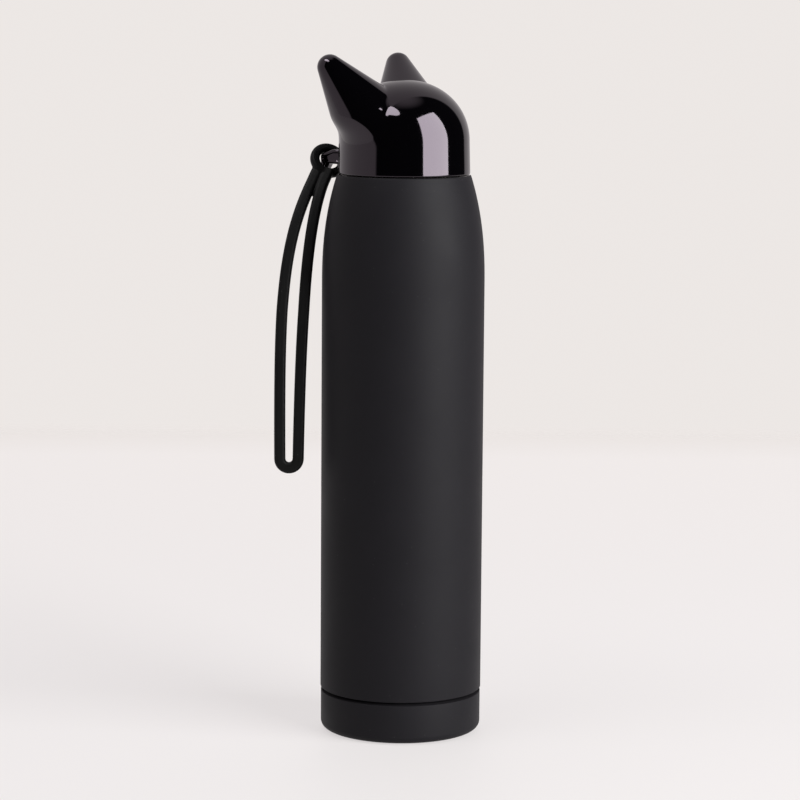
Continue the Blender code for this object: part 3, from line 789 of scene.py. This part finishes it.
def strap_spread(fall):
    """Half the distance between the two strands."""
    swell = 2.15 * (1.0 - math.exp(-(max(fall - 8.0, 0.0) / 22.0) ** 1.3))
    taper = 0.75 * max(0.0, min(1.0, (fall - 60.0) / 60.0))
    return STRAP_HALF_GAP + swell - taper


def strap_path():
    """Points down one strand, round the end and up the other."""
    drop = bpy.context.scene.flask_shape.strap_drop / MM
    falls = [3.6 + (drop - 3.6) * (i / 70.0) ** 1.15 for i in range(71)]
    radius = strap_spread(drop)
    down = [strap_point(f, -strap_spread(f)) for f in falls]
    bend = []
    for step in range(1, 24):
        turn = math.pi * step / 24.0
        bend.append(strap_point(drop + radius * math.sin(turn), -radius * math.cos(turn)))
    up = [strap_point(f, strap_spread(f)) for f in reversed(falls)]
    return down + bend + up


def strap_facing(fall):
    """Normal of the loop's broad side at one height."""
    slope = -STRAP_SWEEP / STRAP_BEND * math.exp(-fall / STRAP_BEND)
    return STRAP_SIDE.cross(Vector((slope, 0.0, -1.0)).normalized()).normalized()


def strand_tree():
    """Geometry nodes that run a rounded strip along a path that keeps its facing."""
    sizes = (("Width", 0.0044), ("Thickness", 0.0034), ("Rounding", STRAP_ROUNDING))
    tree, entry, leave = new_group(
        "Strap strand",
        [("Path", 'NodeSocketGeometry', None),
         *[(label, 'NodeSocketFloat', value) for label, value in sizes],
         ("Finish", 'NodeSocketMaterial', None)],
        [("Strand", 'NodeSocketGeometry')], 'GeometryNodeTree')
    nodes = tree.nodes
    facing = made(nodes, 'GeometryNodeInputNamedAttribute', {"Name": "facing"},
                  data_type='FLOAT_VECTOR')
    line = nodes.new('GeometryNodeMeshToCurve')
    aim = made(nodes, 'GeometryNodeSetCurveNormal', mode='FREE')
    strip = nodes.new('GeometryNodeCurvePrimitiveQuadrilateral')
    soft = made(nodes, 'GeometryNodeFilletCurve', {"Count": 5}, mode='POLY')
    sweep = made(nodes, 'GeometryNodeCurveToMesh', {"Fill Caps": True})
    realize = nodes.new('GeometryNodeRealizeInstances')
    finish = nodes.new('GeometryNodeSetMaterial')
    wire(tree.links,
         (entry, "Path", line, "Mesh"), (line, "Curve", aim, "Curve"),
         (facing, "Attribute", aim, "Normal"), (entry, "Thickness", strip, "Width"),
         (entry, "Width", strip, "Height"), (entry, "Rounding", soft, "Radius"),
         (strip, "Curve", soft, "Curve"), (aim, "Curve", sweep, "Curve"),
         (soft, "Curve", sweep, "Profile Curve"), (sweep, "Mesh", realize, "Geometry"),
         (realize, "Geometry", finish, "Geometry"), (entry, "Finish", finish, "Material"),
         (finish, "Geometry", leave, "Strand"))


def strap_loop():
    """Both strands and the U-turn."""
    path = strap_path()
    mesh = bpy.data.meshes.new("strap_loop")
    mesh.from_pydata([tuple(p * MM) for p in path],
                     [(i, i + 1) for i in range(len(path) - 1)], [])
    aim = mesh.attributes.new("facing", 'FLOAT_VECTOR', 'POINT')
    for i, point in enumerate(path):
        aim.data[i].vector = strap_facing(RING_CENTRE.z - point.z)
    shape = bpy.context.scene.flask_shape
    return grown(linked("strap_loop", mesh), "Strap strand",
                 {"Width": shape.strap_width, "Thickness": shape.strap_thickness,
                  "Rounding": STRAP_ROUNDING,
                  "Finish": bpy.data.materials["black silicone"]})


def strap_ring():
    """Moulded ring with a rounded section."""
    middle = (RING_BORE_R + RING_OUTER_R) / 2.0
    half = (RING_OUTER_R - RING_BORE_R) / 2.0
    section = rounded([(middle + half, 1.7, 1.25), (middle + half, -1.7, 1.25),
                       (middle - half, -1.7, 1.25), (middle - half, 1.7, 1.25)], 6)
    steps = 96
    first = RING_NORMAL.orthogonal().normalized()
    second = RING_NORMAL.cross(first)
    points = []
    for i in range(steps):
        turn = 2.0 * math.pi * i / steps
        out = first * math.cos(turn) + second * math.sin(turn)
        points += [RING_CENTRE + out * r + RING_NORMAL * z for r, z in section]
    faces = band_faces(steps, len(section), closed=True)
    return settle(linked("strap_ring", mesh_of("strap_ring", points, faces),
                         "black silicone"))


# -------------------------------------------------------------------- operators

class FLASK_OT_finishes(bpy.types.Operator):
    """Make the node groups and all the finishes"""

    bl_idname = "flask.finishes"
    bl_label = "Finishes"

    def execute(self, context):
        grain_group()
        dust_group()
        turning_group()
        make_materials()
        lathe_tree()
        strand_tree()
        return {'FINISHED'}


class FLASK_OT_body(bpy.types.Operator):
    """Make the coated body shell, the base cup and the base pad"""

    bl_idname = "flask.body"
    bl_label = "Body and base"

    def execute(self, context):
        shell = turned("body_shell", shell_outline(), "matt coat")
        ridge = thread_ridge("neck_thread", NECK_R, NECK_R + THREAD_HEIGHT, 231.5, 0.0, 1.5,
                             "matt coat")
        joined(shell, [ridge])
        shell.data.materials.append(bpy.data.materials["spun steel"])
        for face in shell.data.polygons:
            centre = face.center / MM
            bare = 25.0 if centre.z > SHOULDER_Z - 0.05 else 24.0
            if math.hypot(centre.x, centre.y) < bare:
                face.material_index = 1
        keep(shell, "flask", "body_coating", "outer_shell")
        cup = turned("foot_cup", cup_outline(), "matt coat")
        keep(cup, "flask", "body_coating", "base_cup")
        outline = [(0.0, 1.2)] + rounded([(27.2, 1.2, 0.2), (27.2, 0.0, 0.5),
                                          (24.0, 0.0, 0.0)], 5)[0:-1]
        for r in range(22, 3, -3):
            outline += [(r + 0.9, 0.0), (r + 0.6, 0.35), (r - 0.6, 0.35), (r - 0.9, 0.0)]
        outline += [(0.0, 0.0)]
        pad = turned("foot_pad", outline, "black silicone")
        keep(pad, "flask", "silicone_black", "base_pad")
        return {'FINISHED'}


class FLASK_OT_vessel(bpy.types.Operator):
    """Make the steel inner vessel with its rolled mouth"""

    bl_idname = "flask.vessel"
    bl_label = "Inner vessel"

    def execute(self, context):
        vessel = turned("steel_vessel", vessel_outline(), "spun steel")
        keep(vessel, "flask", "stainless", "inner_vessel")
        return {'FINISHED'}


class FLASK_OT_cap(bpy.types.Operator):
    """Make the gloss cap with its ears and the tongue for the strap"""

    bl_idname = "flask.cap"
    bl_label = "Cap"

    def execute(self, context):
        hood = joined(cap_hood(), [tongue()])
        keep(hood, "cap", "cap_gloss", "cap_shell")
        return {'FINISHED'}


class FLASK_OT_cap_inside(bpy.types.Operator):
    """Make the threaded liner, the plug and the seals under the cap"""

    bl_idname = "flask.cap_inside"
    bl_label = "Inside of the cap"

    def execute(self, context):
        line = [(LINER_R, 241.0), (LINER_R, 229.3), (LINER_R - 0.3, 229.0),
                (LINER_BORE_R + 0.3, 229.0), (LINER_BORE_R, 229.3), (LINER_BORE_R, 243.0),
                (20.4, 243.0), (20.4, 244.4), (23.2, 244.4), (24.0, 243.6)]
        liner = turned("liner", line, "liner plastic")
        ridge = thread_ridge("liner_thread", LINER_BORE_R, LINER_BORE_R - THREAD_HEIGHT,
                             229.5, 0.45, 1.25, "liner plastic")
        keep(joined(liner, [ridge]), "cap", "liner_plastic", "cap_liner")
        gasket = turned("mouth_gasket", rounded(
            [(22.6, 242.65, 0.4), (22.6, 241.2, 0.4), (20.4, 241.2, 0.4),
             (20.4, 242.65, 0.4)], 5), "grey seal silicone")
        keep(gasket, "cap_seal", "seal_silicone", "lip_gasket")
        plug = [(22.4, 245.9), (22.4, 244.7), (20.0, 244.7), (PLUG_R, 243.9),
                (PLUG_R, 236.2), (18.3, 236.2), (18.3, 233.0), (PLUG_R, 233.0)]
        plug += rounded([(PLUG_R, 233.0, 0.0), (PLUG_R, 230.0, 1.2), (0.0, 230.0, 0.0)],
                        10)[1:]
        plug += [(0.0, 231.5), (16.9, 231.5), (16.9, 245.9)]
        keep(turned("plug", from_axis(plug), "liner plastic"), "cap", "liner_plastic",
             "plug_body")
        seal = rounded([(19.95, 235.8, 0.3), (19.95, 235.1, 0.2), (19.5, 234.55, 0.3),
                        (19.95, 234.0, 0.2), (19.95, 233.35, 0.3), (18.65, 233.35, 0.2),
                        (18.65, 235.8, 0.2)], 4)
        keep(turned("plug_ring", seal, "grey seal silicone"), "cap", "seal_silicone",
             "plug_seal")
        cover = rounded([(0.0, 247.5, 0.0), (21.6, 247.5, 0.5), (21.6, 246.2, 0.3),
                         (0.0, 246.2, 0.0)], 5)
        keep(turned("plug_lid", cover, "liner plastic"), "cap", "liner_plastic",
             "plug_cover")
        return {'FINISHED'}


class FLASK_OT_strap(bpy.types.Operator):
    """Make the moulded silicone strap with its ring"""

    bl_idname = "flask.strap"
    bl_label = "Carry strap"

    def execute(self, context):
        strap = joined(strap_loop(), [strap_ring()])
        strap.name = "silicone_strap"
        fuse = strap.modifiers.new("fused", 'REMESH')
        fuse.mode = 'VOXEL'
        fuse.voxel_size = 0.00026
        fuse.use_smooth_shade = True
        ease = strap.modifiers.new("eased", 'SMOOTH')
        ease.factor = 0.5
        ease.iterations = 10
        settle(strap)
        strap.data.materials.clear()
        strap.data.materials.append(bpy.data.materials["black silicone"])
        keep(strap, "strap", "silicone_black", "carry_strap")
        return {'FINISHED'}


class FLASK_OT_hidden(bpy.types.Operator):
    """Give the frame's own inner pieces their finishes"""

    bl_idname = "flask.hidden"
    bl_label = "Inner pieces"

    def execute(self, context):
        finishes = {"outer_end_plate": "spun steel", "vacuum_seal": "spun steel",
                    "inner_bottom": "spun steel", "copper_foil": "copper foil",
                    "getter_pellet": "getter alloy", "getter_clip": "spun steel",
                    "cap_insulation": "plug foam"}
        for node, finish in finishes.items():
            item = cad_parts[node]
            for place in item.material_slots:
                place.material = bpy.data.materials[finish]
        return {'FINISHED'}


# ------------------------------------------------------------- camera and stage

def stand(right, front, height):
    """Point given by steps to the viewer's right, towards the viewer, and up."""
    return RIGHT * right + FRONT * front + Vector((0.0, 0.0, height))


def make_camera():
    """Camera at the viewing angle, a long lens a little above the flask."""
    data = bpy.data.cameras.new("camera")
    data.lens = CAMERA_LENS
    data.sensor_width = 36.0
    data.clip_start = 0.05
    data.clip_end = 50.0
    item = linked("camera", data)
    item.location = stand(0.0, CAMERA_REACH, CAMERA_HEIGHT)
    forward = -FRONT * math.cos(CAMERA_TILT) - Vector((0.0, 0.0, math.sin(CAMERA_TILT)))
    forward = (forward - RIGHT * math.tan(CAMERA_YAW)).normalized()
    upward = RIGHT.cross(forward).normalized()
    side = forward.cross(upward)
    turn = Matrix((side, upward, -forward)).transposed()
    spin = Matrix.Rotation(CAMERA_ROLL, 3, forward)
    item.rotation_mode = 'QUATERNION'
    item.rotation_quaternion = (spin @ turn).to_quaternion()
    bpy.context.scene.camera = item


def softbox(name, where, aim, width, height, power, shape='RECTANGLE', roll=0.0):
    """Area light that faces a point."""
    data = bpy.data.lights.new(name, 'AREA')
    data.shape = shape
    data.size = width
    data.size_y = height
    data.energy = power
    item = linked(name, data)
    item.location = where
    item.rotation_mode = 'QUATERNION'
    turn = Matrix.Rotation(math.radians(roll), 3, (aim - where).normalized())
    facing = (aim - where).to_track_quat('-Z', 'Y').to_matrix()
    item.rotation_quaternion = (turn @ facing).to_quaternion()


def make_surroundings():
    """Pale studio round the flask, darker on the viewer's side."""
    world = bpy.data.worlds.new("studio")
    bpy.context.scene.world = world
    world.use_nodes = True
    nodes = world.node_tree.nodes
    nodes.clear()
    output = nodes.new('ShaderNodeOutputWorld')
    seen = made(nodes, 'ShaderNodeBackground', {"Color": BACKDROP_COLOUR})
    lit = nodes.new('ShaderNodeBackground')
    way = nodes.new('ShaderNodeTexCoord')
    level = made(nodes, 'ShaderNodeVectorMath', {1: (1.0, 1.0, 0.0)}, operation='MULTIPLY')
    unit = made(nodes, 'ShaderNodeVectorMath', operation='NORMALIZE')
    dark_way = FRONT * math.cos(DARK_TURN) + RIGHT * math.sin(DARK_TURN)
    near = made(nodes, 'ShaderNodeVectorMath', {1: dark_way}, operation='DOT_PRODUCT')
    side = mapped(nodes, math.cos(DARK_HALF_OUTER), math.cos(DARK_HALF_INNER), soft=True)
    tilt = nodes.new('ShaderNodeSeparateXYZ')
    low = mapped(nodes, 1.02, 0.90, soft=True)
    dark = made(nodes, 'ShaderNodeMath', operation='MULTIPLY')
    mix = made(nodes, 'ShaderNodeMix', {"A": PALE_COLOUR, "B": DARK_COLOUR},
               data_type='RGBA')
    path = nodes.new('ShaderNodeLightPath')
    join = nodes.new('ShaderNodeMixShader')
    wire(world.node_tree.links,
         (way, "Generated", level, 0), (level, "Vector", unit, 0),
         (unit, "Vector", near, 0), (near, "Value", side, "Value"),
         (way, "Generated", tilt, "Vector"), (tilt, "Z", low, "Value"),
         (side, "Result", dark, 0), (low, "Result", dark, 1), (dark, 0, mix, "Factor"),
         (mix, "Result", lit, "Color"), (path, "Is Camera Ray", join, "Fac"),
         (lit, "Background", join, 1), (seen, "Background", join, 2),
         (join, "Shader", output, "Surface"))


def floor_material():
    """Pale matt table that glows with painted light, and whose far side fades into the
    backdrop.
    """
    material, nodes, links, shader, place = plain_material("pale table")
    # Painted light: the table's albedo is kept low and an emission glow makes up the rest,
    # so its cast shadows stay faint
    shader.inputs["Base Color"].default_value = (0.155, 0.153, 0.150, 1.0)
    shader.inputs["Roughness"].default_value = 0.6
    shader.inputs["Emission Strength"].default_value = 1.0
    far = made(nodes, 'ShaderNodeVectorMath', operation='LENGTH')
    back = made(nodes, 'ShaderNodeVectorMath', {1: -FRONT}, operation='DOT_PRODUCT')
    # Painted light: this ramp sets the table's glow and evens out the fall-off from the
    # lamps; it rises towards the back and dips slightly near the far edge
    painted_glow = nodes.new('ShaderNodeValToRGB')
    painted_glow.color_ramp.elements[0].position = 0.10
    painted_glow.color_ramp.elements[0].color = (0.60, 0.575, 0.575, 1.0)
    painted_glow.color_ramp.elements[1].position = 0.72
    painted_glow.color_ramp.elements[1].color = (0.670, 0.635, 0.625, 1.0)
    dip = painted_glow.color_ramp.elements.new(0.82)
    dip.color = (0.635, 0.597, 0.577, 1.0)
    edge = mapped(nodes, 0.95, 1.04, soft=True)
    line = mapped(nodes, 0.79, 0.86, soft=True)
    fade = made(nodes, 'ShaderNodeMath', operation='MAXIMUM')
    clear = nodes.new('ShaderNodeBsdfTransparent')
    mix = nodes.new('ShaderNodeMixShader')
    output = [node for node in nodes if node.type == 'OUTPUT_MATERIAL'][0]
    wire(links,
         (place, "Object", far, 0), (place, "Object", back, 0),
         (back, "Value", painted_glow, "Fac"), (painted_glow, "Color", shader, "Emission Color"),
         (far, "Value", edge, "Value"), (back, "Value", line, "Value"),
         (edge, "Result", fade, 0), (line, "Result", fade, 1), (fade, 0, mix, "Fac"),
         (shader, "BSDF", mix, 1), (clear, "BSDF", mix, 2),
         (mix, "Shader", output, "Surface"))
    return material


class FLASK_OT_stage(bpy.types.Operator):
    """Set the table, the surroundings and the studio lights"""

    bl_idname = "flask.stage"
    bl_label = "Stage"

    def execute(self, context):
        context.scene.view_settings.view_transform = 'Standard'
        context.scene.view_settings.look = 'None'
        make_surroundings()
        mesh = bpy.data.meshes.new("table")
        bm = bmesh.new()
        bmesh.ops.create_circle(bm, cap_ends=True, radius=1.05, segments=96)
        bm.to_mesh(mesh)
        bm.free()
        table = linked("table", mesh)
        mesh.materials.append(floor_material())
        table.location.z = -0.0001
        middle = Vector((0.0, 0.0, 0.14))
        softbox("key right", stand(0.922, 0.640, 0.80), stand(0.0, 0.0, 0.80), 1.02, 1.46,
                45.0, roll=-5.0)
        softbox("top left", stand(-0.51, 0.42, 1.35), middle, 1.00, 0.36, 7.8, 'ELLIPSE')
        return {'FINISHED'}


class FLASK_PT_panel(bpy.types.Panel):
    """Sizes, finishes and build steps of the flask"""

    bl_label = "Vacuum flask"
    bl_idname = "FLASK_PT_panel"
    bl_space_type = 'VIEW_3D'
    bl_region_type = 'UI'
    bl_category = "Flask"

    def draw(self, context):
        layout = self.layout
        for group in (context.scene.flask_shape, context.scene.flask_finish):
            box = layout.box()
            for name in group.__annotations__:
                box.prop(group, name)
        for step in STEPS:
            layout.operator(step.bl_idname)


STEPS = (FLASK_OT_finishes, FLASK_OT_body, FLASK_OT_vessel, FLASK_OT_cap,
         FLASK_OT_cap_inside, FLASK_OT_strap, FLASK_OT_hidden, FLASK_OT_stage)
CLASSES = (FlaskShape, FlaskFinish, *STEPS, FLASK_PT_panel)


def register():
    """Register the add-on's classes and its scene settings."""
    for item in CLASSES:
        bpy.utils.register_class(item)
    bpy.types.Scene.flask_shape = PointerProperty(type=FlaskShape)
    bpy.types.Scene.flask_finish = PointerProperty(type=FlaskFinish)


def unregister():
    """Remove what register added."""
    del bpy.types.Scene.flask_finish
    del bpy.types.Scene.flask_shape
    for item in reversed(CLASSES):
        bpy.utils.unregister_class(item)


def main():
    """Register, make the camera and build every piece in order."""
    register()
    make_camera()
    for name in ("finishes", "body", "vessel", "cap", "cap_inside", "strap", "hidden",
                 "stage"):
        if getattr(bpy.ops.flask, name)() != {'FINISHED'}:
            raise RuntimeError("the step did not finish: " + name)


if __name__ == "__main__":
    main()
